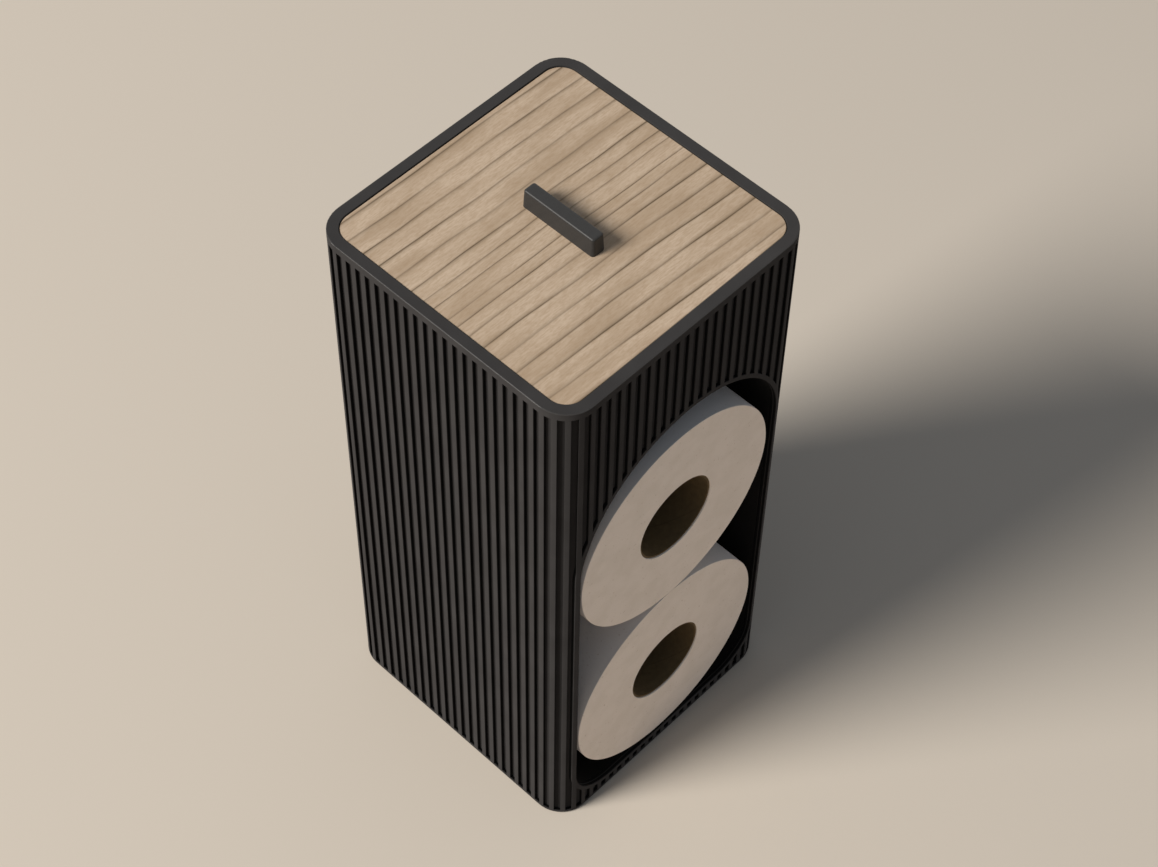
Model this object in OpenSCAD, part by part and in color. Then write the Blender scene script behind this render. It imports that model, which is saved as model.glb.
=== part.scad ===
// Toilet roll storage holder: a fluted upright body with an arched front niche for two rolls,
// a tray under a wooden lid that lifts off, a base plate on rubber feet and the two rolls it holds.
// The origin is on the floor under the middle of the body, the niche opens towards -Y and +Z is up.

/* [Rolls] */
// Diameter of a full roll
roll_d = 109.8; // [100:0.2:116]
// Width of the paper on a roll
roll_len = 98; // [90:1:104]
// Outer diameter of the cardboard core
core_d = 41.4; // [36:0.2:46]
// Wall of the cardboard core
core_wall = 0.8; // [0.6:0.1:1.4]
// How far each end of the core lies inside the paper
core_inset = 0.6; // [0.2:0.1:2]
// Rounding of the paper's outer edges
paper_round = 0.4; // [0.2:0.1:2]
// How far the rolls lean to the left of the niche's middle
roll_lean = 1.8; // [0:0.1:2.2]

/* [Niche] */
// Room beside a centred roll, on each side
niche_side_room = 2.8; // [2.6:0.1:8]
// Room between the upper roll and the top of the arch
niche_head_room = 15.8; // [8:0.2:30]
// Radius of the niche's two lower corners
niche_corner_r = 22.5; // [18:0.5:26]
// How far the rolls' faces lie behind the front of the body
face_inset = 0.8; // [0:0.1:4]
// Height of the niche's floor above the ground
sill_h = 7.7; // [7.2:0.1:14]
// Wall of the lining
liner_wall = 2; // [1.5:0.1:2.6]
// Room between the lining and the inside of the body, on each side
liner_room = 4.8; // [3:0.1:10]

/* [Body] */
// Wall of the body, measured to the face of the ribs
shell_wall = 3; // [2.6:0.1:4]
// Radius of the body's upright corners
corner_r = 14.2; // [12.6:0.2:18]
// Rounding of the body's top edge
rim_round = 0.4; // [0.2:0.1:2]
// Bevel of the body's bottom edge
foot_bevel = 0.4; // [0.2:0.1:1]
// Number of grooves all round the body
groove_count = 99; // [68:1:116]
// Width of a groove
groove_w = 2.95; // [2:0.05:3.2]
// Depth of a groove
groove_depth = 1.6; // [0.8:0.05:1.8]
// Plain band above the grooves
top_band = 3.6; // [2:0.1:8]
// Plain band below the grooves
base_band = 1.6; // [1:0.1:4]
// Plain lip round the arched opening
lip_w = 2; // [1.5:0.1:4]

/* [Rim and tray] */
// Width of the rim's flat top, rounding included
rim_w = 4.9; // [4:0.1:6.5]
// Radius of the recess's corners inside the rim
rim_inner_r = 9; // [8:0.5:11]
// Width of the ledge that carries the tray
ledge_w = 5; // [4:0.1:6]
// Thickness of the ledge at its inner edge
ledge_t = 2.5; // [2:0.1:4]
// Wall and floor of the tray
tray_wall = 1.6; // [1.2:0.1:2.4]
// Depth of the tray, from its flange to the inside of its floor
tray_depth = 40.2; // [25:0.2:60]
// Radius of the tray's upright corners
tray_r = 6; // [5:0.5:7]
// Room between the tray and the top of the lining
tray_room = 1; // [0.5:0.1:4]

/* [Lid] */
// Thickness of the wooden panel
panel_t = 5; // [4:0.1:8]
// How far the panel's face lies below the rim
panel_recess = 0.4; // [0.2:0.1:3]
// Rounding of the panel's upper edge
panel_round = 0.4; // [0.2:0.1:0.8]
// Thickness of the pads under the panel
pad_t = 1; // [0.6:0.1:2]
// Diameter of a pad
pad_d = 4.4; // [3.5:0.1:5]
// Height that the lid is lifted to
lid_lift = 80; // [40:5:120]

/* [Handle] */
// Length of the handle at its foot
handle_len = 37.8; // [30:0.2:60]
// Width of the handle at its foot
handle_w = 6.9; // [6.2:0.1:9]
// Height of the handle
handle_h = 8.9; // [8.6:0.1:16]
// How far each side of the handle leans in up to its top
handle_lean = 0.5; // [0.2:0.1:0.9]
// Radius of the handle's upright corners at its foot
handle_corner_r = 1.6; // [1.5:0.1:2.4]
// Rounding of the handle's upper edges
handle_round = 0.9; // [0.4:0.1:0.9]
// Distance between the handle's two screws
handle_pitch = 22; // [16:1:24]

/* [Base and fasteners] */
// Thickness of the base plate
base_t = 3.2; // [2.8:0.1:4]
// How far the base plate lies inside the body's bottom edge
base_inset = 0.5; // [0.2:0.1:1.2]
// How far the feet stand out below the body
foot_proud = 0.5; // [0.4:0.1:1.5]
// Diameter of a foot
foot_d = 12; // [10:0.5:16]
// How deep a foot is set into the base plate
foot_set = 1.5; // [1:0.1:1.8]
// Distance of each foot from the middle, along both sides
foot_at = 44; // [36:1:46]
// Diameter of a screw's thread
screw_d = 2.9; // [2.4:0.1:3.2]
// Diameter of a screw's head
screw_head_d = 5.6; // [5:0.1:6]
// Height of a screw's head
screw_head_h = 1.8; // [1.4:0.1:2]
// Length of a base screw's thread above the base plate
base_screw_grip = 5; // [3.5:0.1:5.4]
// Length of a handle screw's thread inside the handle
handle_screw_grip = 6; // [4:0.1:7]
// Height of the bosses that take the base screws
boss_h = 6; // [5.6:0.1:6.6]
// Material between a base screw's head and the edge of the base plate
plate_edge = 1.2; // [0.8:0.1:2]
// Diameter of the washers under the handle's screws
washer_d = 7.4; // [6.6:0.1:9]
// Thickness of those washers
washer_t = 0.5; // [0.4:0.1:1]

/* [Fits] */
// Clearance between fixed pieces that fit into each other
fit_gap = 0.2; // [0.1:0.05:0.3]
// Clearance round the lid and the tray's flange inside the rim
lid_gap = 0.3; // [0.2:0.05:0.8]
// Clearance between a roll and what it lies on
rest_gap = 0.3; // [0.2:0.05:0.4]
// Clearance between a thread and its hole, on the radius
thread_gap = 0.05; // [0.02:0.01:0.1]
// Clearance of a screw or a head in its through hole, on the radius
hole_gap = 0.3; // [0.2:0.05:0.5]

/* [Hidden] */
$fn = 96;

// Overlap of a cutting shape past the face that it cuts
past = 1;

// The niche and the body follow from the rolls
niche_w = roll_d + 2 * niche_side_room;
body_w = niche_w + 2 * (liner_wall + liner_room + shell_wall);
flat_half = body_w / 2 - corner_r;
cavity_w = body_w - 2 * shell_wall;
cavity_r = corner_r - shell_wall;
front_y = -body_w / 2;
roll_front_y = front_y + face_inset;
roll_back_y = roll_front_y + roll_len;
niche_back_y = roll_back_y + rest_gap;
lower_roll_z = sill_h + rest_gap + roll_d / 2;
upper_roll_z = lower_roll_z + roll_d + rest_gap;
arch_top_z = upper_roll_z + roll_d / 2 + niche_head_room;
arch_z = arch_top_z - niche_w / 2;

// Heights, from the tray's floor to the rim
tray_bottom_z = arch_top_z + liner_wall + tray_room;
ledge_z = tray_bottom_z + tray_wall + tray_depth;
flange_z = ledge_z + tray_wall;
panel_z = flange_z + pad_t;
panel_top_z = panel_z + panel_t;
rim_z = panel_top_z + panel_recess;

// The recess inside the rim, and the ledge below it
recess_w = body_w - 2 * rim_w;
ledge_hole_w = recess_w - 2 * ledge_w;
ledge_reach = (cavity_w - ledge_hole_w) / 2;
panel_w = recess_w - 2 * lid_gap;
panel_r = rim_inner_r - lid_gap;
tray_w = ledge_hole_w - 2 * fit_gap;

// The base plate stands on its feet, inside the body's bottom edge
base_z = foot_proud + base_inset;
base_top_z = base_z + base_t;
head_seat_z = base_z + hole_gap + screw_head_h;

// The bosses stand in the body's corners and run a little way into its wall
boss_out = screw_head_d / 2 + hole_gap + plate_edge + fit_gap;
boss_at = flat_half + (cavity_r - boss_out) / sqrt(2);
boss_d = 2 * boss_out + shell_wall / 3;
boss_cap = 1;

// Round the body, a quarter of its outline is half a flat, a corner and half a flat
corner_len = PI / 2 * corner_r;
quarter_len = 2 * flat_half + corner_len;
groove_pitch = 4 * quarter_len / groove_count;

// The bumpers lie on the middle of the tray's flange, at its corners
flange_outer = panel_w / 2 - panel_r + panel_r / sqrt(2);
flange_inner = tray_w / 2 - tray_r + tray_r / sqrt(2);
pad_at = (flange_outer + flange_inner) / 2;

// Flat plate with rounded upright corners, centred, standing on z = 0
module rounded_plate(width, depth, radius, height) {
    linear_extrude(height) {
        square([width - 2 * radius, depth], center = true);
        square([width, depth - 2 * radius], center = true);
        for (x = [-1, 1], y = [-1, 1])
            translate([x * (width / 2 - radius), y * (depth / 2 - radius)]) circle(radius);
    }
}

// Sweeps a profile round a rounded rectangle: its x points outwards from the edge, its y points up
module sweep_round(width, depth, radius) {
    for (side = [0, 1]) rotate(180 * side) {
        translate([width / 2 - radius, depth / 2 - radius, 0])
            rotate_extrude(angle = 90) translate([radius, 0]) children();
        translate([-width / 2 + radius, depth / 2 - radius, 0])
            rotate(90) rotate_extrude(angle = 90) translate([radius, 0]) children();
        translate([width / 2, depth / 2 - radius, 0])
            rotate([90, 0, 0]) linear_extrude(depth - 2 * radius) children();
        translate([-width / 2 + radius, depth / 2, 0])
            rotate([90, 0, 90]) linear_extrude(width - 2 * radius) children();
    }
}

// Profile that rounds an outer upper edge when it is swept and cut away
module edge_round(radius) {
    difference() {
        translate([-radius, -radius]) square(radius + past);
        translate([-radius, -radius]) circle(radius);
    }
}

// Outline of the niche seen from the front, grown outwards by an even margin
module niche_outline(grow) {
    half = niche_w / 2 + grow;
    flat = niche_w / 2 - niche_corner_r;
    translate([0, arch_z]) circle(half);
    translate([-half, sill_h + niche_corner_r])
        square([2 * half, arch_z - sill_h - niche_corner_r]);
    translate([-flat, sill_h - grow]) square([2 * flat, arch_z - sill_h + grow]);
    for (side = [-1, 1])
        translate([side * flat, sill_h + niche_corner_r]) circle(niche_corner_r + grow);
}

// The niche's outline as a straight passage from y0 to y1
module niche_passage(grow, y0, y1) {
    translate([0, y1, 0]) rotate([90, 0, 0]) linear_extrude(y1 - y0) niche_outline(grow);
}

// Places a groove at a distance along the outline, counted from the middle of the left side
module at_outline(distance) {
    quarter = floor(distance / quarter_len);
    rest = distance - quarter * quarter_len;
    rotate(90 * (quarter - 1)) {
        if (rest <= flat_half)
            translate([rest, front_y, 0]) children();
        else if (rest < flat_half + corner_len)
            translate([flat_half, -flat_half, 0])
                rotate((rest - flat_half) / corner_r * 180 / PI)
                    translate([0, -corner_r, 0]) children();
        else
            rotate(90) translate([rest - quarter_len, front_y, 0]) children();
    }
}

// All the grooves round the body, between its two plain bands
module grooves() {
    z0 = foot_proud + base_band;
    for (i = [0:groove_count - 1]) at_outline(i * groove_pitch)
        translate([-groove_w / 2, -past, z0])
            cube([groove_w, past + groove_depth, rim_z - top_band - z0]);
}

// Ledge inside the body that carries the tray, with a sloping underside
module tray_ledge() {
    translate([0, 0, ledge_z]) sweep_round(cavity_w, cavity_w, cavity_r)
        polygon([
            [past, 0], [-ledge_reach, 0], [-ledge_reach, -ledge_t],
            [0, -ledge_t - ledge_reach], [past, -ledge_t - ledge_reach]
        ]);
}

// Solid outside of the body, before it is hollowed
module shell_blank() {
    difference() {
        translate([0, 0, foot_proud])
            rounded_plate(body_w, body_w, corner_r, rim_z - foot_proud);
        translate([0, 0, rim_z]) sweep_round(body_w, body_w, corner_r) edge_round(rim_round);
        translate([0, 0, foot_proud]) sweep_round(body_w, body_w, corner_r)
            polygon([[-foot_bevel, -past], [past, -past], [past, past + foot_bevel], [-foot_bevel, 0]]);
    }
}

// Boss for a base screw in each corner of the body
module base_bosses() {
    for (x = [-1, 1], y = [-1, 1])
        translate([x * boss_at, y * boss_at, base_top_z]) cylinder(d = boss_d, h = boss_h);
}

module fluted_shell() {
    color([0.10, 0.10, 0.10]) difference() {
        union() {
            difference() {
                shell_blank();
                translate([0, 0, -past])
                    rounded_plate(cavity_w, cavity_w, cavity_r, ledge_z + past);
            }
            tray_ledge();
            base_bosses();
        }
        translate([0, 0, ledge_z])
            rounded_plate(recess_w, recess_w, rim_inner_r, rim_z - ledge_z + past);
        difference() {
            grooves();
            niche_passage(lip_w, front_y - 2 * past, -flat_half);
        }
        niche_passage(0, front_y - past, -flat_half);
        for (x = [-1, 1], y = [-1, 1])
            translate([x * boss_at, y * boss_at, base_top_z - past])
                cylinder(d = screw_d + 2 * thread_gap, h = boss_h + past - boss_cap);
    }
}

module niche_liner() {
    fin_x = niche_w / 4;
    skid_x = niche_w / 2 - niche_corner_r - liner_wall;
    back_y = niche_back_y + liner_wall;
    fit_y = cavity_w / 2 - fit_gap;
    color([0.13, 0.13, 0.13]) {
        difference() {
            intersection() {
                niche_passage(liner_wall, front_y, back_y);
                rounded_plate(
                    cavity_w - 2 * fit_gap, cavity_w - 2 * fit_gap, cavity_r - fit_gap, ledge_z
                );
            }
            niche_passage(0, front_y - past, niche_back_y);
        }
        // Skids that stand on the base plate
        for (side = [-1, 1])
            translate([side * skid_x - liner_wall / 2, -flat_half, base_top_z])
                cube([liner_wall, back_y + flat_half, sill_h - liner_wall / 2 - base_top_z]);
        // Fins that brace the lining against the back of the body
        for (side = [-1, 1])
            translate([
                side * fin_x - liner_wall / 2, back_y - liner_wall / 2, sill_h + niche_corner_r
            ])
                cube([liner_wall, fit_y - back_y + liner_wall / 2, arch_z - sill_h - niche_corner_r]);
    }
}

module base_plate() {
    plate_w = cavity_w - 2 * fit_gap;
    color([0.09, 0.09, 0.09]) difference() {
        translate([0, 0, base_z]) rounded_plate(plate_w, plate_w, cavity_r - fit_gap, base_t);
        for (x = [-1, 1], y = [-1, 1]) {
            translate([x * boss_at, y * boss_at, base_z - past]) {
                cylinder(d = screw_d + 2 * hole_gap, h = base_t + 2 * past);
                cylinder(d = screw_head_d + 2 * hole_gap, h = head_seat_z - base_z + past);
            }
            translate([x * foot_at, y * foot_at, base_z - past])
                cylinder(d = foot_d + 2 * fit_gap, h = foot_set + past);
        }
    }
}

// Pan head screw that points up, with the underside of its head on z = 0
module pan_screw(grip) {
    cylinder(d = screw_d, h = grip);
    translate([0, 0, -screw_head_h]) difference() {
        cylinder(d = screw_head_d, h = screw_head_h);
        // Cross recess for the driver
        for (turn = [0, 90]) rotate(turn)
            translate([-screw_head_d / 4, -screw_head_d / 16, -past])
                cube([screw_head_d / 2, screw_head_d / 8, past + screw_head_h / 2]);
    }
}

module base_screws() {
    color("silver") for (x = [-1, 1], y = [-1, 1])
        translate([x * boss_at, y * boss_at, head_seat_z])
            pan_screw(base_top_z - head_seat_z + base_screw_grip);
}

module rubber_feet() {
    bevel = foot_proud / 2;
    color([0.2, 0.2, 0.2]) for (x = [-1, 1], y = [-1, 1])
        translate([x * foot_at, y * foot_at, 0]) rotate_extrude()
            polygon([
                [0, 0], [foot_d / 2 - bevel, 0], [foot_d / 2, bevel],
                [foot_d / 2, base_z + foot_set], [0, base_z + foot_set]
            ]);
}

module top_tray() {
    color([0.16, 0.16, 0.16]) difference() {
        union() {
            translate([0, 0, tray_bottom_z])
                rounded_plate(tray_w, tray_w, tray_r, flange_z - tray_bottom_z);
            translate([0, 0, ledge_z]) rounded_plate(panel_w, panel_w, panel_r, tray_wall);
        }
        translate([0, 0, tray_bottom_z + tray_wall])
            rounded_plate(
                tray_w - 2 * tray_wall, tray_w - 2 * tray_wall, tray_r - tray_wall,
                flange_z - tray_bottom_z
            );
    }
}

// Places its children at each screw of the handle
module at_handle_screws() {
    for (side = [-1, 1]) translate([0, side * handle_pitch / 2, 0]) children();
}

module lid_panel() {
    color([0.73, 0.64, 0.53]) difference() {
        translate([0, 0, panel_z]) rounded_plate(panel_w, panel_w, panel_r, panel_t);
        translate([0, 0, panel_top_z]) sweep_round(panel_w, panel_w, panel_r) edge_round(panel_round);
        at_handle_screws() translate([0, 0, panel_z - past])
            cylinder(d = screw_d + 2 * hole_gap, h = panel_t + 2 * past);
    }
}

// Profile of what is cut off the handle's sides, so that they lean in and end in a rounding
module handle_side() {
    draft = atan(handle_lean / handle_h);
    tangent = handle_round * tan(45 - draft / 2);
    round_x = -handle_lean - tangent;
    round_y = handle_h - handle_round;
    difference() {
        translate([round_x, -past]) square([past - round_x, handle_h + 2 * past]);
        // What stays: the leaning side up to its rounding, and the rounding itself
        polygon([
            [2 * round_x, -2 * past], [2 * past * tan(draft), -2 * past],
            [tangent * sin(draft) - handle_lean, handle_h - tangent * cos(draft)],
            [round_x, round_y], [2 * round_x, round_y]
        ]);
        translate([round_x, round_y]) circle(handle_round);
    }
}

module lid_handle() {
    color([0.22, 0.22, 0.23]) difference() {
        translate([0, 0, panel_top_z])
            rounded_plate(handle_w, handle_len, handle_corner_r, handle_h);
        translate([0, 0, panel_top_z])
            sweep_round(handle_w, handle_len, handle_corner_r) handle_side();
        at_handle_screws() translate([0, 0, panel_top_z - past])
            cylinder(d = screw_d + 2 * thread_gap, h = past + handle_screw_grip + hole_gap);
    }
}

module handle_screws() {
    color("silver") at_handle_screws() translate([0, 0, panel_z - washer_t])
        pan_screw(washer_t + panel_t + handle_screw_grip);
}

module handle_washers() {
    color("gainsboro") at_handle_screws() translate([0, 0, panel_z - washer_t]) difference() {
        cylinder(d = washer_d, h = washer_t);
        translate([0, 0, -past]) cylinder(d = screw_d + 2 * hole_gap, h = washer_t + 2 * past);
    }
}

module lid_pads() {
    color([0.3, 0.3, 0.3]) for (x = [-1, 1], y = [-1, 1])
        translate([x * pad_at, y * pad_at, flange_z]) cylinder(d = pad_d, h = pad_t);
}

// Turns a profile of radius and width round a roll's axis, from its front face back
module turned_roll(height) {
    translate([-roll_lean, roll_front_y, height]) rotate([-90, 0, 0]) rotate_extrude() children();
}

// Wound paper: a thick ring with rounded outer edges
module roll_paper(height) {
    outer = roll_d / 2;
    inner = core_d / 2;
    color([0.93, 0.91, 0.88]) turned_roll(height) {
        translate([inner, 0]) square([outer - paper_round - inner, roll_len]);
        translate([inner, paper_round]) square([outer - inner, roll_len - 2 * paper_round]);
        for (y = [paper_round, roll_len - paper_round])
            translate([outer - paper_round, y]) circle(paper_round);
    }
}

// Cardboard tube in the middle of a roll
module roll_core(height) {
    color([0.45, 0.36, 0.26]) turned_roll(height)
        translate([core_d / 2 - core_wall, core_inset])
            square([core_wall, roll_len - 2 * core_inset]);
}

module lower_roll_paper() { roll_paper(lower_roll_z); }
module lower_roll_core() { roll_core(lower_roll_z); }
module upper_roll_paper() { roll_paper(upper_roll_z); }
module upper_roll_core() { roll_core(upper_roll_z); }

fluted_shell();
niche_liner();
base_plate();
base_screws();
rubber_feet();
top_tray();
lid_panel();
lid_handle();
handle_screws();
handle_washers();
lid_pads();
lower_roll_paper();
lower_roll_core();
upper_roll_paper();
upper_roll_core();
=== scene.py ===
"""Looks of the toilet roll storage holder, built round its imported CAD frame.

The CAD solids keep their shapes and get procedural finishes. The two rolls are wound again here in
finer meshes, because paper has loose edges and layers that a plain solid lacks.
"""

import logging
import math
from dataclasses import dataclass
from enum import Enum
from typing import Any, Iterable, Sequence

import bmesh
import bpy
import numpy as np
from mathutils import Matrix, Vector, noise


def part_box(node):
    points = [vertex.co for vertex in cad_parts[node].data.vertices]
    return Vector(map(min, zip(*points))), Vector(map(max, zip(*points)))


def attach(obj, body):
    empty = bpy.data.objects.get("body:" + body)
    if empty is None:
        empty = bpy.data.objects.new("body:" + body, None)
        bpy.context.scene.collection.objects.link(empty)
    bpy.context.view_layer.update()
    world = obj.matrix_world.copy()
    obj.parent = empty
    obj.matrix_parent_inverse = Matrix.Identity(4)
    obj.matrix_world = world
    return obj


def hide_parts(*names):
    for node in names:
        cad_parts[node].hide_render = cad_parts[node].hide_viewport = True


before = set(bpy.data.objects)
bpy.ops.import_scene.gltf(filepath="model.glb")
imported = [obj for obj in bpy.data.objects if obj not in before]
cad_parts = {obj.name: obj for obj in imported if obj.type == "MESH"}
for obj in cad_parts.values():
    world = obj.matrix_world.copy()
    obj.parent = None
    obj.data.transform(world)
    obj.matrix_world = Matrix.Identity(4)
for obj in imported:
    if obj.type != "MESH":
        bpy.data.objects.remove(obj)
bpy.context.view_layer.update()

LOG = logging.getLogger("roll_holder")
MM = 0.001
# Most values of a noise lie between these two
NOISE_SPAN = (0.3, 0.7)
BEVEL_SAMPLES = 4

Tree = bpy.types.ShaderNodeTree
Socket = bpy.types.NodeSocket
Colour = tuple[float, float, float, float]
Span = tuple[float, float]


def linear(code: str) -> Colour:
    """Turns an sRGB hex value into a linear colour.

    Args:
        code: Six hex digits after a hash sign.

    Returns:
        Linear red, green and blue, and an alpha of 1.
    """
    parts = [int(code[i : i + 2], 16) / 255 for i in (1, 3, 5)]
    values = [c / 12.92 if c <= 0.04045 else ((c + 0.055) / 1.055) ** 2.4 for c in parts]
    return (values[0], values[1], values[2], 1.0)


def grey(value: float) -> Colour:
    """Gives a linear grey for a ramp or mix that carries a plain number."""
    return (value, value, value, 1.0)


def per_metre(size_mm: float) -> float:
    """Gives the texture scale at which one noise cell is that many millimetres wide."""
    return 1 / (size_mm * MM)


def add_node(
    tree: Tree,
    kind: str,
    inputs: dict[str, Any] | Sequence[Any] = (),
    out: str | int = 0,
    stops: Iterable[tuple[float, Colour]] = (),
    **settings: Any,
) -> Socket:
    """Adds one shader node with its settings and its links.

    Args:
        tree: Node tree that gets the node.
        kind: Type name of the node, without its common prefix.
        inputs: Values or sockets for its inputs, by name or in the inputs' own order.
        out: Name or number of the output that is wanted.
        stops: Place and colour of each stop of a ramp, in rising order.
        **settings: Properties of the node.

    Returns:
        The wanted output of the node.
    """
    made = tree.nodes.new("ShaderNode" + kind)
    for name, value in settings.items():
        setattr(made, name, value)
    keyed = inputs if isinstance(inputs, dict) else dict(enumerate(inputs))
    for key, value in keyed.items():
        if isinstance(value, Socket):
            tree.links.new(value, made.inputs[key])
        else:
            made.inputs[key].default_value = value
    for number, (place, colour) in enumerate(stops):
        elements = made.color_ramp.elements
        # A new ramp has two stops, and what follows goes in after them
        if number == len(elements):
            elements.new(1.0)
        elements[number].position = place
        elements[number].color = colour
    return made.outputs[out]


def emptied(owner: bpy.types.Material | bpy.types.World) -> tuple[Tree, Socket]:
    """Clears the nodes of a material or a world, down to its output.

    Args:
        owner: The material or the world.

    Returns:
        Its node tree, and the socket that takes its surface.
    """
    owner.use_nodes = True
    tree = owner.node_tree
    tree.nodes.clear()
    kind = "World" if isinstance(owner, bpy.types.World) else "Material"
    return tree, tree.nodes.new("ShaderNodeOutput" + kind).inputs["Surface"]


def seen_rays(tree: Tree) -> Socket:
    """Tells the rays that show a surface as it is: camera, glossy and transmission rays.

    Args:
        tree: Node tree of the surface.

    Returns:
        1 for those rays, and 0 for the light that a surface sends on.
    """
    rays = add_node(tree, "LightPath").node.outputs
    camera, glossy = rays["Is Camera Ray"], rays["Is Glossy Ray"]
    both = add_node(tree, "Math", (camera, glossy), operation="MAXIMUM")
    return add_node(tree, "Math", (both, rays["Is Transmission Ray"]), operation="MAXIMUM")


@dataclass(frozen=True)
class Flutes:
    """Where the flutes lie below the rounded-square outline, for the shade painted on their walls.

    Sizes are in millimetres, and the spans are depths below the face of the ribs: over the first
    a side wall begins, over the second the floor of the flutes, and over the third the inside.
    """

    flat_half: float
    corner: float
    bottom: float
    top: float
    wall: Span = (0.15, 0.5)
    floor: Span = (1.4, 1.57)
    inner: Span = (1.72, 2.17)
    floor_share: float = 0.8

    def walls(self, tree: Tree, place: Socket) -> Socket:
        """Finds the side walls, between the face of the ribs and the floor of the flutes, which get
        painted shade.

        Args:
            tree: Node tree of the material.
            place: Place on the body.

        Returns:
            How much painted shade goes on: 1 on the walls and the inside, a little on the floor of
                the flutes and 0 on the ribs and the plain bands.
        """
        half = self.flat_half * MM
        spot = add_node(tree, "VectorMath", (place,), operation="ABSOLUTE")
        for operation, other in (
            ("SUBTRACT", (half, half, 0.0)),
            ("MAXIMUM", (0.0, 0.0, 0.0)),
            ("MULTIPLY", (1.0, 1.0, 0.0)),
        ):
            spot = add_node(tree, "VectorMath", (spot, other), operation=operation)
        reach = add_node(tree, "VectorMath", (spot,), "Value", operation="LENGTH")
        below = add_node(tree, "Math", (self.corner * MM, reach), operation="SUBTRACT")
        sunk, lowest, inside = (
            add_node(
                tree,
                "MapRange",
                {"Value": below, "From Min": start * MM, "From Max": end * MM},
                interpolation_type="SMOOTHSTEP",
            )
            for start, end in (self.wall, self.floor, self.inner)
        )
        height = add_node(tree, "SeparateXYZ", (place,), "Z")
        middle, room = (self.top + self.bottom) / 2 * MM, (self.top - self.bottom) / 2 * MM
        fluted = add_node(tree, "Math", (height, middle, room), operation="COMPARE")
        floor = add_node(tree, "Math", (lowest, inside), operation="SUBTRACT")
        share = add_node(tree, "Math", (floor, self.floor_share), operation="MULTIPLY")
        dark = add_node(tree, "Math", (sunk, share), operation="SUBTRACT")
        return add_node(tree, "Math", (dark, fluted), operation="MULTIPLY")


# The coarse grain breaks up highlights, so the plastic reads as a deep matte grey and throws light
# back towards the lamp. Only a handled edge is polished by use and shows a thin line of light.
@dataclass(frozen=True)
class MouldedAbs:
    """Moulded ABS with the coarse grain of a spark-eroded mould."""

    name: str = "moulded_abs"
    colour: str = "#3c3b3b"
    shade: str = "#363535"
    # Painted shade for the walls of the flutes and the inside
    painted_wall_shade: str = "#040404"
    roughness: float = 0.9
    roughness_swing: float = 0.05
    diffuse_roughness: float = 1.0
    ior: float = 1.53
    specular: float = 0.08
    touched_roughness: float = 0.6
    touched_specular: float = 0.13
    edge_roughness: float = 0.35
    edge_specular: float = 0.28
    edge_rise: float = 0.55
    edge_rise_room: float = 0.4
    grain_mm: float = 0.55
    grain_depth_mm: float = 0.02
    flow_mm: float = 14.0
    edge_mm: float = 0.3
    handled_above: float | None = None
    flutes: Flutes | None = None

    def build(self) -> bpy.types.Material:
        """Builds the material.

        Returns:
            The material.
        """
        made = bpy.data.materials.new(self.name)
        tree, surface = emptied(made)
        place = add_node(tree, "TexCoord", out="Object")
        # The melt cools in slightly different greys along its flow
        flow = add_node(
            tree, "TexNoise", {"Vector": place, "Scale": per_metre(self.flow_mm), "Detail": 3.0}
        )
        greys = linear(self.shade), linear(self.colour)
        colour = add_node(tree, "ValToRGB", (flow,), stops=zip(NOISE_SPAN, greys))
        # The grain of the mould, drawn coarser than its 0.1 mm so that it shows
        grain = add_node(
            tree, "TexNoise", {"Vector": place, "Scale": per_metre(self.grain_mm), "Detail": 2.0}
        )
        swing = self.roughness_swing
        levels = grey(self.roughness - swing), grey(self.roughness + swing)
        rough = add_node(tree, "ValToRGB", (grain,), stops=zip(NOISE_SPAN, levels))
        if self.flutes is not None:
            # Painted shade: the walls, the inside and a little of the flutes' floors are darkened
            # where shade falls in the flutes
            walls = self.flutes.walls(tree, place)
            colour = add_node(tree, "MixRGB", (walls, colour, linear(self.painted_wall_shade)))
        shine: float | Socket = self.specular
        if self.handled_above is not None:
            spots = self.handled(tree, place)
            rough = self.worn(tree, spots, rough, (self.touched_roughness, self.edge_roughness))
            plain = grey(self.specular)
            shine = self.worn(tree, spots, plain, (self.touched_specular, self.edge_specular))
        rounded = add_node(tree, "Bevel", (self.edge_mm * MM,), samples=BEVEL_SAMPLES)
        depth = self.grain_depth_mm * MM
        normal = add_node(
            tree,
            "Bump",
            {"Height": grain, "Distance": depth, "Strength": 1.0, "Normal": rounded},
        )
        shader = add_node(
            tree,
            "BsdfPrincipled",
            {
                "Base Color": colour,
                "Roughness": rough,
                "Diffuse Roughness": self.diffuse_roughness,
                "IOR": self.ior,
                "Specular IOR Level": shine,
                "Normal": normal,
            },
        )
        tree.links.new(shader, surface)
        return made

    def handled(self, tree: Tree, place: Socket) -> tuple[Socket, Socket]:
        """Finds what hands touch above a height, where the grain is worn smoother.

        Args:
            tree: Node tree of the material.
            place: Place on the piece.

        Returns:
            1 above that height, and 1 on the rounded edges above it.
        """
        height = add_node(tree, "SeparateXYZ", (place,), "Z")
        above = add_node(tree, "Math", (height, self.handled_above * MM), operation="GREATER_THAN")
        facing = add_node(tree, "NewGeometry", out="True Normal")
        rise = add_node(tree, "SeparateXYZ", (facing,), "Z")
        slanted = add_node(
            tree, "Math", (rise, self.edge_rise, self.edge_rise_room), operation="COMPARE"
        )
        return above, add_node(tree, "Math", (slanted, above), operation="MULTIPLY")

    @staticmethod
    def worn(
        tree: Tree, spots: tuple[Socket, Socket], level: Socket | Colour, values: Span
    ) -> Socket:
        """Changes a level where hands touch, and once more on the edges there.

        Args:
            tree: Node tree of the material.
            spots: 1 where hands touch, and 1 on the edges there.
            level: The level elsewhere.
            values: The level where hands touch, and on the edges there.

        Returns:
            The level all over the piece.
        """
        for share, value in zip(spots, values):
            level = add_node(tree, "MixRGB", (share, level, grey(value)))
        return level


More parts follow.
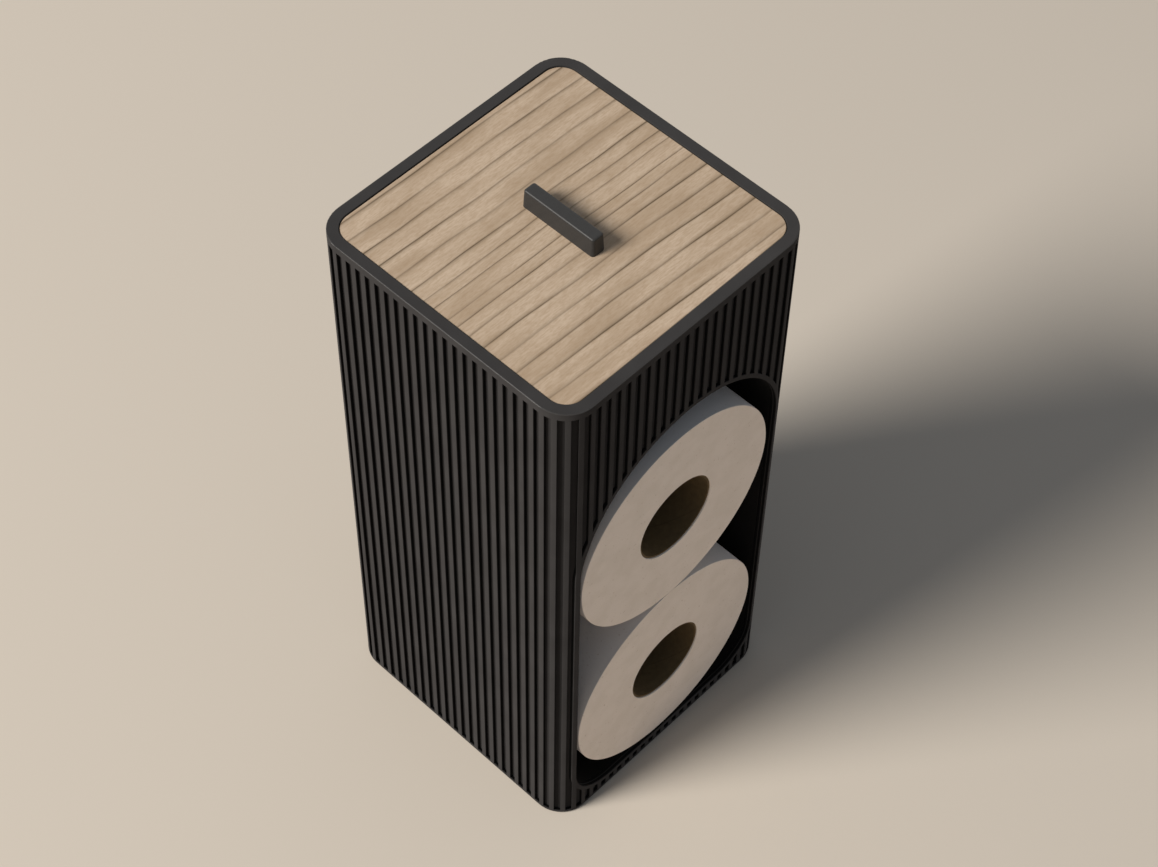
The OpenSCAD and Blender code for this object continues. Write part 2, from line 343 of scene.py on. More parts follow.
@dataclass(frozen=True)
class Streaks:
    """A noise whose cells are drawn out along the grain, which runs along X.

    A cell is cell_mm wide across the grain, and along is that width as a share of its length.
    """

    along: float
    cell_mm: float
    detail: float = 2.0

    def draw(self, tree: Tree, place: Socket) -> Socket:
        """Draws the noise.

        Args:
            tree: Node tree of the material.
            place: Place on the panel.

        Returns:
            The noise, from 0 to 1.
        """
        drawn = add_node(tree, "Mapping", {"Vector": place, "Scale": (self.along, 1.0, 1.0)})
        scale = per_metre(self.cell_mm)
        return add_node(
            tree, "TexNoise", {"Vector": drawn, "Scale": scale, "Detail": self.detail}
        )


# Each ring darkens softly outwards and ends in a sharp edge, on both sides of the heart, and short
# flecks of pores lie along the grain, between cloudy bands of warmer wood.
@dataclass(frozen=True)
class OiledOak:
    """Planed and oiled oak, sawn flat near the heart, so that its rings run as long lines.

    Each row of ring_line is a share of a ring, from its inner edge outwards, and how much of the
    late wood's colour shows there.
    """

    name: str = "oiled_oak"
    early: str = "#c6b29b"
    warm: str = "#b19c84"
    late: str = "#5b4b36"
    pore: str = "#a0876b"
    roughness: float = 0.62
    ior: float = 1.5
    specular: float = 0.35
    ring_mm: float = 8.58
    extra_rings: float = 1.1
    crowd_mm: float = 9.8
    heart_mm: tuple[float, float] = (-10.0, 1.2)
    lopsided: float = 0.0225
    slope: float = 0.03
    fan_per_m: float = 0.218
    wander_mm: float = 0.9
    end_grain_slant: float = 0.5
    heart_share: float = 0.12
    relief_mm: float = 0.04
    fleck_strength: float = 0.45
    fleck_span: Span = (0.38, 0.58)
    band_span: Span = (0.34, 0.64)
    fade_span: Span = (0.32, 0.66)
    faded: float = 0.45
    wander: Streaks = Streaks(0.45, 26.0, 1.5)
    fading: Streaks = Streaks(0.13, 6.0)
    bands: Streaks = Streaks(0.2, 7.0)
    # Pores, drawn a little wider than the 0.4 mm of oak so that they show as fine streaks
    pores: Streaks = Streaks(0.12, 0.7)
    # The sanded fibres between them, drawn as coarse as the render needs
    fibres: Streaks = Streaks(0.3, 0.6)
    ring_line: tuple[Span, ...] = (
        (0.0, 0.6),
        (0.03, 0.2),
        (0.08, 0.0),
        (0.72, 0.0),
        (0.84, 0.16),
        (0.92, 0.5),
        (0.96, 0.95),
        (0.98, 1.0),
    )

    def build(self) -> bpy.types.Material:
        """Builds the material.

        Returns:
            The material.
        """
        made = bpy.data.materials.new(self.name)
        tree, surface = emptied(made)
        place = add_node(tree, "TexCoord", out="Object")
        late = self.late_wood(tree, place)
        cloudy = linear(self.warm), linear(self.early)
        bands = self.bands.draw(tree, place)
        base = add_node(tree, "ValToRGB", (bands,), stops=zip(self.band_span, cloudy))
        both = (self.pores.draw(tree, place), self.fibres.draw(tree, place))
        summed = add_node(tree, "Math", both, operation="ADD")
        pores = add_node(tree, "Math", (summed, 0.5), operation="MULTIPLY")
        marks = grey(self.fleck_strength), grey(0.0)
        fleck = add_node(tree, "ValToRGB", (pores,), stops=zip(self.fleck_span, marks))
        flecked = add_node(tree, "MixRGB", (fleck, base, linear(self.pore)))
        colour = add_node(tree, "MixRGB", (late, flecked, linear(self.late)))
        relief = add_node(tree, "Math", (pores, late), operation="SUBTRACT")
        depth = self.relief_mm * MM
        normal = add_node(
            tree, "Bump", {"Height": relief, "Distance": depth, "Strength": 1.0}
        )
        shader = add_node(
            tree,
            "BsdfPrincipled",
            {
                "Base Color": colour,
                "Roughness": self.roughness,
                "IOR": self.ior,
                "Specular IOR Level": self.specular,
                "Normal": normal,
            },
        )
        tree.links.new(shader, surface)
        return made

    def rings(self, tree: Tree, place: Socket) -> Socket:
        """Counts the growth rings outwards from the heart, closer together near it.

        Args:
            tree: Node tree of the material.
            place: Place on the panel.

        Returns:
            The number of rings passed, a whole number at each ring's sharp edge.
        """
        x, y, z = add_node(tree, "SeparateXYZ", (place,)).node.outputs
        heart_x, heart_y = (v * MM for v in self.heart_mm)
        # The lines fall a little towards +X and fan out with it
        tilt = add_node(tree, "Math", (y, -self.fan_per_m, self.slope), operation="MULTIPLY_ADD")
        along = add_node(tree, "Math", (x, heart_x), operation="SUBTRACT")
        across = add_node(tree, "Math", (along, tilt, y), operation="MULTIPLY_ADD")
        wander = add_node(
            tree, "Math", (self.wander.draw(tree, place), 0.5), operation="SUBTRACT"
        )
        # A noise seldom leaves the middle half of its range, so its swing counts four times
        shift = add_node(tree, "Math", (wander, 4 * self.wander_mm * MM), operation="MULTIPLY")
        moved = add_node(tree, "Math", (across, shift), operation="ADD")
        offset = add_node(tree, "Math", (moved, heart_y), operation="SUBTRACT")
        below = add_node(tree, "Math", (z, -self.end_grain_slant), operation="MULTIPLY")
        return self.count(tree, offset, below)

    def count(self, tree: Tree, offset: Socket, below: Socket) -> Socket:
        """Turns a distance from the heart into a number of rings.

        Args:
            tree: Node tree of the material.
            offset: Distance from the heart across the grain, with its sign.
            below: What the depth in the panel adds to it on the end grain.

        Returns:
            The number of rings passed.
        """
        _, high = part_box("lid_panel")
        far = add_node(tree, "Math", (offset,), operation="ABSOLUTE")
        deep = add_node(tree, "Math", (below, high.z * self.end_grain_slant), operation="ADD")
        uneven = add_node(
            tree, "Math", (offset, -self.lopsided, far), operation="MULTIPLY_ADD"
        )
        total = add_node(tree, "Math", (uneven, deep), operation="ADD")
        even = add_node(tree, "Math", (total, self.ring_mm * MM), operation="DIVIDE")
        near = add_node(tree, "Math", (far, self.crowd_mm * MM), operation="DIVIDE")
        bend = add_node(tree, "Math", (near,), operation="TANH")
        extra = add_node(
            tree, "Math", (bend, self.extra_rings, self.heart_share), operation="MULTIPLY_ADD"
        )
        return add_node(tree, "Math", (even, extra), operation="ADD")

    def late_wood(self, tree: Tree, place: Socket) -> Socket:
        """Draws the dark line at each ring's outer edge, fading and returning along the grain.

        Args:
            tree: Node tree of the material.
            place: Place on the panel.

        Returns:
            How much of the late wood's colour shows.
        """
        part = add_node(tree, "Math", (self.rings(tree, place),), operation="FRACT")
        darkness = [(share, grey(level)) for share, level in self.ring_line]
        line = add_node(tree, "ValToRGB", (part,), stops=darkness)
        levels = grey(self.faded), grey(1.0)
        fading = self.fading.draw(tree, place)
        kept = add_node(tree, "ValToRGB", (fading,), stops=zip(self.fade_span, levels))
        return add_node(tree, "Math", (line, kept), operation="MULTIPLY")


# It scatters light evenly, with faint fibres on the side and the edges of the layers on the ends.
@dataclass(frozen=True)
class TissuePaper:
    """Creped tissue paper, wound into a roll.

    The outer sheet is what lies within wrap_mm of the outer radius and faces along the axis by
    less than end_facing, and a fibre's width is the share fibre_along of its length.
    """

    name: str = "tissue_paper"
    pale: str = "#efece7"
    dull: str = "#e9e6e0"
    # Painted shade: the outer sheet, darker than the ends so that the lamp does not burn it out
    painted_shade_wrap: str = "#e6e4e2"
    speck: str = "#bdb4a8"
    roughness: float = 0.95
    ior: float = 1.45
    specular: float = 0.15
    sheen: float = 0.1
    sheen_roughness: float = 0.6
    layer_mm: float = 0.9
    layer_share: float = 0.06
    layer_relief: float = 0.15
    cloud_mm: float = 9.0
    cloud_span: Span = (0.36, 0.6)
    wrap_mm: float = 1.0
    end_facing: float = 0.5
    fibre_mm: float = 0.7
    fibre_along: float = 0.5
    relief_mm: float = 0.05
    speck_mm: float = 1.3
    speck_span: Span = (0.7, 0.78)
    speck_strength: float = 0.5

    def build(self, axis: Vector, outer: float) -> bpy.types.Material:
        """Builds the material.

        Args:
            axis: A point on the roll's axis, which runs along Y.
            outer: Outer radius of the roll in metres.

        Returns:
            The material.
        """
        made = bpy.data.materials.new(self.name)
        tree, surface = emptied(made)
        place = add_node(tree, "TexCoord", out="Object")
        middle = (axis.x, 0.0, axis.z)
        centred = add_node(tree, "VectorMath", (place, middle), operation="SUBTRACT")
        flat = add_node(tree, "VectorMath", (centred, (1.0, 0.0, 1.0)), operation="MULTIPLY")
        radius = add_node(tree, "VectorMath", (flat,), "Value", operation="LENGTH")
        # Layers, drawn three times as thick as the paper so that they show
        layers = add_node(
            tree,
            "TexNoise",
            {"W": radius, "Scale": per_metre(self.layer_mm), "Detail": 2.0},
            noise_dimensions="1D",
        )
        cloud = add_node(
            tree, "TexNoise", {"Vector": place, "Scale": per_metre(self.cloud_mm), "Detail": 4.0}
        )
        edges = add_node(tree, "Math", (layers, self.layer_share), operation="MULTIPLY")
        clouds = add_node(tree, "Math", (cloud, 1 - self.layer_share), operation="MULTIPLY")
        mixed = add_node(tree, "Math", (edges, clouds), operation="ADD")
        tones = linear(self.dull), linear(self.pale)
        ends = add_node(tree, "ValToRGB", (mixed,), stops=zip(self.cloud_span, tones))
        # Painted shade: the face of the outer sheet is drawn a little darker and cooler than the cut
        # edges on the ends, so that it stays short of white where the lamp falls on it
        face = self.outer_face(tree, radius, outer)
        sheet = add_node(tree, "MixRGB", (face, ends, linear(self.painted_shade_wrap)))
        # Sparse specks in the pulp, drawn wider than they are so that they show
        pulp = add_node(
            tree, "TexNoise", {"Vector": place, "Scale": per_metre(self.speck_mm), "Detail": 1.0}
        )
        marks = grey(0.0), grey(self.speck_strength)
        specks = add_node(tree, "ValToRGB", (pulp,), stops=zip(self.speck_span, marks))
        colour = add_node(tree, "MixRGB", (specks, sheet, linear(self.speck)))
        along = (1.0, self.fibre_along, 1.0)
        drawn = add_node(tree, "Mapping", {"Vector": centred, "Scale": along})
        fibres = add_node(
            tree, "TexNoise", {"Vector": drawn, "Scale": per_metre(self.fibre_mm), "Detail": 3.0}
        )
        raised = add_node(tree, "Math", (layers, self.layer_relief), operation="MULTIPLY")
        relief = add_node(tree, "Math", (fibres, raised), operation="ADD")
        depth = self.relief_mm * MM
        normal = add_node(
            tree, "Bump", {"Height": relief, "Distance": depth, "Strength": 1.0}
        )
        shader = add_node(
            tree,
            "BsdfPrincipled",
            {
                "Base Color": colour,
                "Roughness": self.roughness,
                # The crepe throws light back evenly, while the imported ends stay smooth
                "Diffuse Roughness": face,
                "IOR": self.ior,
                "Specular IOR Level": self.specular,
                "Sheen Weight": self.sheen,
                "Sheen Roughness": self.sheen_roughness,
                "Normal": normal,
            },
        )
        tree.links.new(shader, surface)
        return made

    def outer_face(self, tree: Tree, radius: Socket, outer: float) -> Socket:
        """Finds the face of the outer sheet.

        Args:
            tree: Node tree of the material.
            radius: Distance from the roll's axis.
            outer: Outer radius of the roll in metres.

        Returns:
            1 on that face, and 0 on the ends and in the bore.
        """
        facing = add_node(tree, "NewGeometry", out="True Normal")
        along = add_node(tree, "SeparateXYZ", (facing,), "Y")
        size = add_node(tree, "Math", (along,), operation="ABSOLUTE")
        beside = add_node(tree, "Math", (size, self.end_facing), operation="LESS_THAN")
        last = add_node(
            tree, "Math", (radius, outer - self.wrap_mm * MM), operation="GREATER_THAN"
        )
        return add_node(tree, "Math", (beside, last), operation="MULTIPLY")


# The strip's seam runs round the tube as a helix and the fibres give a dull brown fleck.
@dataclass(frozen=True)
class CoreBoard:
    """Spirally wound grey board.

    Each row of seam_line is a share of the strip's width and how strongly the seam shows there.
    """

    name: str = "core_board"
    colour: str = "#67573c"
    shade: str = "#574932"
    seam: str = "#4f412c"
    roughness: float = 0.85
    specular: float = 0.3
    strip_mm: float = 72.0
    fleck_mm: float = 2.4
    fleck_span: Span = (0.25, 0.75)
    fleck_relief: float = 0.3
    relief_mm: float = 0.08
    seam_line: tuple[Span, ...] = ((0.0, 0.7), (0.006, 0.4), (0.014, 0.0), (1.0, 0.0))

    def build(self, axis: Vector) -> bpy.types.Material:
        """Builds the material.

        Args:
            axis: A point on the tube's axis, which runs along Y.

        Returns:
            The material.
        """
        made = bpy.data.materials.new(self.name)
        tree, surface = emptied(made)
        place = add_node(tree, "TexCoord", out="Object")
        middle = (axis.x, 0.0, axis.z)
        centred = add_node(tree, "VectorMath", (place, middle), operation="SUBTRACT")
        x, y, z = add_node(tree, "SeparateXYZ", (centred,)).node.outputs
        angle = add_node(tree, "Math", (z, x), operation="ARCTAN2")
        turn = add_node(tree, "Math", (angle, 2 * math.pi), operation="DIVIDE")
        strips = add_node(tree, "Math", (y, self.strip_mm * MM), operation="DIVIDE")
        helix = add_node(tree, "Math", (turn, strips), operation="ADD")
        wound = add_node(tree, "Math", (helix,), operation="FRACT")
        strength = [(share, grey(level)) for share, level in self.seam_line]
        seam = add_node(tree, "ValToRGB", (wound,), stops=strength)
        # The fibres' fleck, drawn wider than it is so that it shows
        fleck = add_node(
            tree, "TexNoise", {"Vector": place, "Scale": per_metre(self.fleck_mm), "Detail": 2.0}
        )
        tones = linear(self.shade), linear(self.colour)
        board = add_node(tree, "ValToRGB", (fleck,), stops=zip(self.fleck_span, tones))
        colour = add_node(tree, "MixRGB", (seam, board, linear(self.seam)))
        raised = add_node(tree, "Math", (fleck, self.fleck_relief), operation="MULTIPLY")
        relief = add_node(tree, "Math", (raised, seam), operation="SUBTRACT")
        depth = self.relief_mm * MM
        normal = add_node(
            tree, "Bump", {"Height": relief, "Distance": depth, "Strength": 1.0}
        )
        shader = add_node(
            tree,
            "BsdfPrincipled",
            {
                "Base Color": colour,
                "Roughness": self.roughness,
                "Specular IOR Level": self.specular,
                "Normal": normal,
            },
        )
        tree.links.new(shader, surface)
        return made


# It looks as dark as the plastic, a little smoother, with a softer line of light on its edges.
@dataclass(frozen=True)
class PowderCoat:
    """Powder-coated metal with the fine orange peel of a baked coat."""

    name: str = "powder_coat"
    colour: str = "#2f2f2f"
    shade: str = "#2a2a2a"
    roughness: float = 0.42
    diffuse_roughness: float = 1.0
    ior: float = 1.5
    specular: float = 0.35
    peel_mm: float = 0.8
    relief_mm: float = 0.02
    edge_mm: float = 0.4

    def build(self) -> bpy.types.Material:
        """Builds the material.

        Returns:
            The material.
        """
        made = bpy.data.materials.new(self.name)
        tree, surface = emptied(made)
        place = add_node(tree, "TexCoord", out="Object")
        peel = add_node(
            tree, "TexNoise", {"Vector": place, "Scale": per_metre(self.peel_mm), "Detail": 1.0}
        )
        tones = linear(self.shade), linear(self.colour)
        colour = add_node(tree, "ValToRGB", (peel,), stops=zip(NOISE_SPAN, tones))
        rounded = add_node(tree, "Bevel", (self.edge_mm * MM,), samples=BEVEL_SAMPLES)
        depth = self.relief_mm * MM
        normal = add_node(
            tree, "Bump", {"Height": peel, "Distance": depth, "Strength": 1.0, "Normal": rounded}
        )
        shader = add_node(
            tree,
            "BsdfPrincipled",
            {
                "Base Color": colour,
                "Roughness": self.roughness,
                "Diffuse Roughness": self.diffuse_roughness,
                "IOR": self.ior,
                "Specular IOR Level": self.specular,
                "Normal": normal,
            },
        )
        tree.links.new(shader, surface)
        return made


# The tumbling leaves fine scuffs and a bright grey that is a little dull.
@dataclass(frozen=True)
class ZincSteel:
    """Zinc-plated steel from a tumbling barrel."""

    name: str = "zinc_plated_steel"
    colour: str = "#b9b9ba"
    shade: str = "#9c9da0"
    roughness: Span = (0.28, 0.42)
    scuff_mm: float = 0.9

    def build(self) -> bpy.types.Material:
        """Builds the material.

        Returns:
            The material.
        """
        made = bpy.data.materials.new(self.name)
        tree, surface = emptied(made)
        place = add_node(tree, "TexCoord", out="Object")
        scuff = add_node(
            tree, "TexNoise", {"Vector": place, "Scale": per_metre(self.scuff_mm), "Detail": 4.0}
        )
        tones = linear(self.shade), linear(self.colour)
        colour = add_node(tree, "ValToRGB", (scuff,), stops=zip(NOISE_SPAN, tones))
        levels = (grey(level) for level in self.roughness)
        rough = add_node(tree, "ValToRGB", (scuff,), stops=zip(NOISE_SPAN, levels))
        shader = add_node(
            tree,
            "BsdfPrincipled",
            {"Base Color": colour, "Roughness": rough, "Metallic": 1.0},
        )
        tree.links.new(shader, surface)
        return made


# Its dusty bloom makes it duller and greyer than the plastic.
@dataclass(frozen=True)
class MouldedRubber:
    """Moulded rubber with a bloom from its cure."""

    name: str = "moulded_rubber"
    colour: str = "#1d1d1e"
    bloom: str = "#2b2b2c"
    roughness: float = 0.8
    ior: float = 1.52
    dust_mm: float = 2.2
    dust_span: Span = (0.4, 0.7)
    relief_mm: float = 0.03

    def build(self) -> bpy.types.Material:
        """Builds the material.

        Returns:
            The material.
        """
        made = bpy.data.materials.new(self.name)
        tree, surface = emptied(made)
        place = add_node(tree, "TexCoord", out="Object")
        dust = add_node(
            tree, "TexNoise", {"Vector": place, "Scale": per_metre(self.dust_mm), "Detail": 5.0}
        )
        tones = linear(self.colour), linear(self.bloom)
        colour = add_node(tree, "ValToRGB", (dust,), stops=zip(self.dust_span, tones))
        depth = self.relief_mm * MM
        normal = add_node(tree, "Bump", {"Height": dust, "Distance": depth, "Strength": 1.0})
        shader = add_node(
            tree,
            "BsdfPrincipled",
            {
                "Base Color": colour,
                "Roughness": self.roughness,
                "IOR": self.ior,
                "Normal": normal,
            },
        )
        tree.links.new(shader, surface)
        return made


def dress(node: str, finish: bpy.types.Material) -> None:
    """Gives a CAD node its finish.

    Args:
        node: Name of the node.
        finish: Material for all of its faces.
    """
    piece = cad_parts[node]
    piece.data.materials.clear()
    piece.data.materials.append(finish)
    LOG.info("dressed %s in %s", node, finish.name)


def mesh_piece(
    name: str, points: np.ndarray, faces: Iterable[Sequence[int]], finish: bpy.types.Material
) -> bpy.types.Object:
    """Makes a smooth mesh piece.

    Args:
        name: Name of the piece.
        points: Its points in metres, one row each.
        faces: The point numbers of each face.
        finish: Its material.

    Returns:
        The new object, in the scene.
    """
    mesh = bpy.data.meshes.new(name)
    mesh.from_pydata(points.tolist(), [], list(faces))
    mesh.validate()
    mesh.materials.append(finish)
    mesh.polygons.foreach_set("use_smooth", [True] * len(mesh.polygons))
    mesh.update()
    made = bpy.data.objects.new(name, mesh)
    bpy.context.scene.collection.objects.link(made)
    return made


class Side(Enum):
    """The two rolls by their place in the niche."""

    LOWER = "lower"
    UPPER = "upper"

    def meets(self) -> float:
        """Gives the share of a turn at which the roll meets the other one, its top or its foot."""
        return 0.25 if self is Side.LOWER else 0.75

    def cloud(self) -> float:
        """Gives the roll's place in the noise, so that the two differ."""
        return 17.0 if self is Side.LOWER else 53.0


@dataclass
class WoundRoll:
    """A toilet roll: its paper is wound again here, and its core keeps the CAD tube.

    Sizes are in millimetres, and turns are shares of a turn from +X up and over.
    """

    side: Side
    around: int = 360
    end_rings: int = 56
    edge_steps: int = 7
    side_steps: int = 24
    edge_mm: float = 0.25
    bore_edge_mm: float = 0.25
    bore_room_mm: float = 0.02
    edge_wave: float = 0.5
    lip_wave: float = 0.6
    layer_mm: float = 0.12
    unevenness_mm: float = 0.12
    dent_mm: float = 7.0
    squeeze_mm: float = 0.2
    squeeze_turn: float = 0.014
    seam_turn: float = 0.92

    def centre(self) -> tuple[Vector, float, float, float]:
        """Reads the roll's place from the CAD.

        Returns:
            The middle of the front face, the outer radius, the bore's radius and the width.
        """
        low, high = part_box(f"{self.side.value}_roll_paper")
        core_low, core_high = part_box(f"{self.side.value}_roll_core")
        middle = (low + high) / 2
        radius = (high.x - low.x) / 2
        bore = (core_high.x - core_low.x) / 2
        return Vector((middle.x, low.y, middle.z)), radius, bore, high.y - low.y

    def profile(self, radius: float, bore: float, width: float) -> np.ndarray:
        """Draws the outline that goes round the axis.

        Args:
            radius: Outer radius in metres.
            bore: Radius of the bore in metres.
            width: Width of the paper in metres.

        Returns:
            Rows of the radius, the depth behind the front face, the share of the way from the bore
            to the outer layer, and how uneven the paper is there, which is 1 on the ends.
        """
        edge, lip = self.edge_mm * MM, self.bore_edge_mm * MM
        inner, outer = bore + lip, radius - edge
        turns = [math.pi / 2 * step / self.edge_steps for step in range(self.edge_steps + 1)]
        front = [
            (inner - lip * math.cos(turn), lip - lip * math.sin(turn), 0.0, self.lip_wave)
            for turn in turns
        ]
        for step in range(1, self.end_rings):
            share = step / self.end_rings
            front.append((inner + share * (radius - edge - bore - lip), 0.0, share, 1.0))
        front += [
            (outer + edge * math.sin(turn), edge - edge * math.cos(turn), 1.0, self.edge_wave)
            for turn in turns
        ]
        sides = [
            (radius, edge + (width - 2 * edge) * step / self.side_steps, 1.0, 0.0)
            for step in range(1, self.side_steps)
        ]
        back = [(r, width - y, share, wave) for r, y, share, wave in reversed(front)]
        return np.array(front + sides + back)

    def wind(self, finish: bpy.types.Material) -> bpy.types.Object:
        """Builds the wound paper.

        Args:
            finish: Material of the paper.

        Returns:
            The paper as one closed ring.
        """
        front, radius, bore, width = self.centre()
        rows = self.profile(radius, bore + self.bore_room_mm * MM, width)
        turns = np.arange(self.around) / self.around
        points = np.zeros((len(rows), self.around, 3))
        for i, (r, y, share, uneven) in enumerate(rows):
            back = y > width / 2
            for k, turn in enumerate(turns):
                angle = 2 * math.pi * turn
                place = (r * math.cos(angle), r * math.sin(angle), self.side.cloud() + back)
                wave = noise.noise(Vector(place) / (self.dent_mm * MM))
                # The last layer ends in a step, where the sheet's tail lies
                tail = ((turn - self.seam_turn) % 1.0 - 0.5) * self.layer_mm * MM * share
                # The rolls press on each other where they meet, and their layers close up there
                press = math.exp(-(((turn - self.side.meets()) / self.squeeze_turn) ** 2))
                swell = press * share * self.squeeze_mm * MM
                wound = r - 0.5 * self.layer_mm * MM * share + tail * (1 - press) + swell
                # There the edge is pressed square, so that no groove shows between them
                square = press if share == 1.0 and y < self.edge_mm * MM else 0.0
                lift = abs(self.unevenness_mm * MM * wave * uneven)
                depth = y * (1 - square) + lift * (-1 if back else 1)
                points[i, k] = (
                    front.x + wound * math.cos(angle),
                    front.y + depth,
                    front.z + wound * math.sin(angle),
                )
        count = len(rows)
        faces = [
            (
                i * self.around + k,
                i * self.around + (k + 1) % self.around,
                (i + 1) % count * self.around + (k + 1) % self.around,
                (i + 1) % count * self.around + k,
            )
            for i in range(count)
            for k in range(self.around)
        ]
        made = mesh_piece(f"{self.side.value}_wound_paper", points.reshape(-1, 3), faces, finish)
        shape = bmesh.new()
        shape.from_mesh(made.data)
        bmesh.ops.recalc_face_normals(shape, faces=shape.faces)
        shape.to_mesh(made.data)
        shape.free()
        return made

    def build(self) -> None:
        """Winds the paper, sets it on its body and dresses the core."""
        front, radius, _, _ = self.centre()
        finish = TissuePaper(name=f"tissue_paper_{self.side.value}").build(front, radius)
        paper = self.wind(finish)
        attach(paper, f"{self.side.value}_roll")
        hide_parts(f"{self.side.value}_roll_paper")
        LOG.info("wound %s with %d points", paper.name, len(paper.data.vertices))
        board = CoreBoard(name=f"core_board_{self.side.value}").build(front)
        dress(f"{self.side.value}_roll_core", board)


@dataclass
class Housing:
    """The body, the lining of its niche, the tray, the base plate, its screws and its feet.

    Sizes are in millimetres. The two bands are where the shade painted on the flutes' walls stops,
    and the rim's rounding is where hands begin to touch it.
    """

    flat_half: float = 53.3
    corner: float = 14.2
    top_band: float = 3.5
    base_band: float = 1.5
    rim_round: float = 0.45

    def build(self) -> None:
        """Dresses each piece of the body."""
        low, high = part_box("fluted_shell")
        flutes = Flutes(
            flat_half=self.flat_half,
            corner=self.corner,
            bottom=low.z / MM + self.base_band,
            top=high.z / MM - self.top_band,
        )
        touched = high.z / MM - self.rim_round
        # Painted shade: the niche's lining is drawn much darker than the shell, for the shade inside
        # the niche; the base plate shares it
        lining = MouldedAbs("moulded_abs_lining_painted_shade", colour="#121111", shade="#0e0e0d").build()
        tray = MouldedAbs("moulded_abs_tray", colour="#2c2b2b", shade="#262525").build()
        dress("fluted_shell", MouldedAbs(handled_above=touched, flutes=flutes).build())
        dress("niche_liner", lining)
        dress("base_plate", lining)
        dress("top_tray", tray)
        dress("base_screws", ZincSteel().build())
        dress("rubber_feet", MouldedRubber().build())


@dataclass
class Lid:
    """The wooden lid with its handle, screws, washers and pads."""

    def build(self) -> None:
        """Dresses each piece of the lid."""
        steel = ZincSteel("zinc_plated_steel_lid").build()
        dress("lid_panel", OiledOak().build())
        dress("lid_handle", PowderCoat().build())
        dress("handle_screws", steel)
        dress("handle_washers", steel)
        dress("lid_pads", MouldedRubber("moulded_rubber_pads").build())


@dataclass(frozen=True)
class Lamp:
    """A round soft lamp that shines on the object.

    The power is in watts, the distance and the sizes are in metres, and the angles in degrees: the
    azimuth turns from +X towards +Y and the height is above the floor.
    """

    name: str
    colour: str
    power: float
    distance: float
    size: float
    azimuth: float
    height: float
    aim_height: float = 0.15

    def build(self) -> None:
        """Hangs the lamp and turns it to the object."""
        data = bpy.data.lights.new(self.name, "AREA")
        data.shape = "DISK"
        data.size = self.size
        data.energy = self.power
        data.color = linear(self.colour)[:3]
        lamp = bpy.data.objects.new(self.name, data)
        turn, height = math.radians(self.azimuth), math.radians(self.height)
        towards = Vector(
            (math.cos(turn) * math.cos(height), math.sin(turn) * math.cos(height), math.sin(height))
        )
        lamp.location = towards * self.distance + Vector((0.0, 0.0, self.aim_height))
        lamp.rotation_euler = towards.to_track_quat("Z", "Y").to_euler()
        bpy.context.scene.collection.objects.link(lamp)


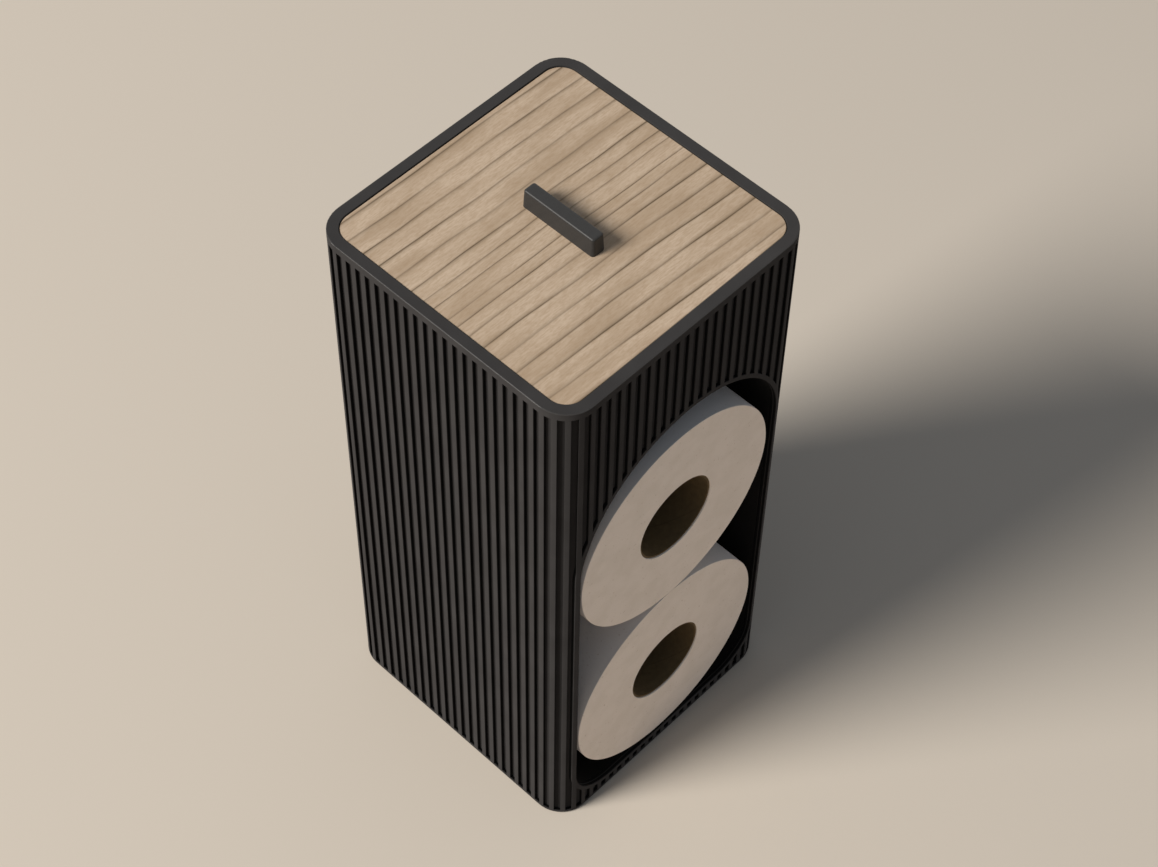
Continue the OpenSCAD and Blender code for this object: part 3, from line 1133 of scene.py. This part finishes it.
@dataclass
class Studio:
    """Floor, lamp, world and camera.

    The camera stands where the photograph was taken from. Its place is in metres, its angles are
    in degrees, and its focal length and the frame's width are in pixels of the photograph.
    """

    floor_seen: str = "#d3cabd"
    floor_bounce: str = "#dac3ab"
    floor_half: float = 6.0
    sky: str = "#e9f0fb"
    sky_level: float = 0.22
    pale: str = "#f4f2ef"
    pale_level: float = 1.0
    key: Lamp = Lamp(
        name="key_lamp",
        colour="#fff9f2",
        power=455.0,
        distance=6.0,
        size=2.5,
        azimuth=158.0,
        height=37.5,
    )
    azimuth: float = -46.869
    elevation: float = 53.279
    roll: float = 1.149
    camera_place: tuple[float, float, float] = (-0.4595, -0.4407, 1.0192)
    focal_px: float = 2541.8
    frame_px: float = 1158.0
    sensor_mm: float = 36.0
    clip_m: Span = (0.01, 50.0)

    def floor(self) -> None:
        """Lays the pale floor. What it sends back to the object is as warm as a wooden table."""
        made = bpy.data.materials.new("pale_floor")
        tree, surface = emptied(made)
        bounce, seen = (
            add_node(tree, "BsdfDiffuse", (linear(code),))
            for code in (self.floor_bounce, self.floor_seen)
        )
        mixed = add_node(tree, "MixShader", (seen_rays(tree), bounce, seen))
        tree.links.new(mixed, surface)
        half = self.floor_half
        points = np.array([(-half, -half, 0), (half, -half, 0), (half, half, 0), (-half, half, 0)])
        floor = mesh_piece("studio_floor", points, [(0, 1, 2, 3)], made)

    def world(self) -> None:
        """Sets a faint even sky, which is seen as a plain pale backdrop."""
        world = bpy.data.worlds.new("studio_sky")
        tree, surface = emptied(world)
        sky, pale = (
            add_node(tree, "Background", (linear(code), level))
            for code, level in ((self.sky, self.sky_level), (self.pale, self.pale_level))
        )
        mixed = add_node(tree, "MixShader", (seen_rays(tree), sky, pale))
        tree.links.new(mixed, surface)
        bpy.context.scene.world = world

    def camera(self) -> None:
        """Sets the camera with the photograph's place, turn and field of view."""
        data = bpy.data.cameras.new("photo_camera")
        data.sensor_fit = "HORIZONTAL"
        data.sensor_width = self.sensor_mm
        data.lens = self.sensor_mm * self.focal_px / self.frame_px
        data.clip_start, data.clip_end = self.clip_m
        made = bpy.data.objects.new("photo_camera", data)
        turn, height, roll = (
            math.radians(angle) for angle in (self.azimuth, self.elevation, self.roll)
        )
        back = Vector(
            (math.sin(turn) * math.cos(height), -math.cos(turn) * math.cos(height), math.sin(height))
        )
        level = (-back).cross(Vector((0, 0, 1))).normalized()
        upright = level.cross(-back)
        right = math.cos(roll) * level + math.sin(roll) * upright
        up = math.cos(roll) * upright - math.sin(roll) * level
        turned = Matrix((right, up, back)).transposed().to_4x4()
        made.matrix_world = Matrix.Translation(self.camera_place) @ turned
        bpy.context.scene.collection.objects.link(made)
        bpy.context.scene.camera = made

    def build(self) -> None:
        """Sets up the whole studio."""
        self.floor()
        self.key.build()
        self.world()
        self.camera()
        bpy.context.scene.view_settings.view_transform = "Standard"


def main() -> None:
    """Dresses the holder, its lid and its rolls and sets up the studio."""
    logging.basicConfig(level=logging.INFO, format="%(name)s: %(message)s")
    Housing().build()
    Lid().build()
    for side in Side:
        WoundRoll(side).build()
    Studio().build()


if __name__ == "__main__":
    main()
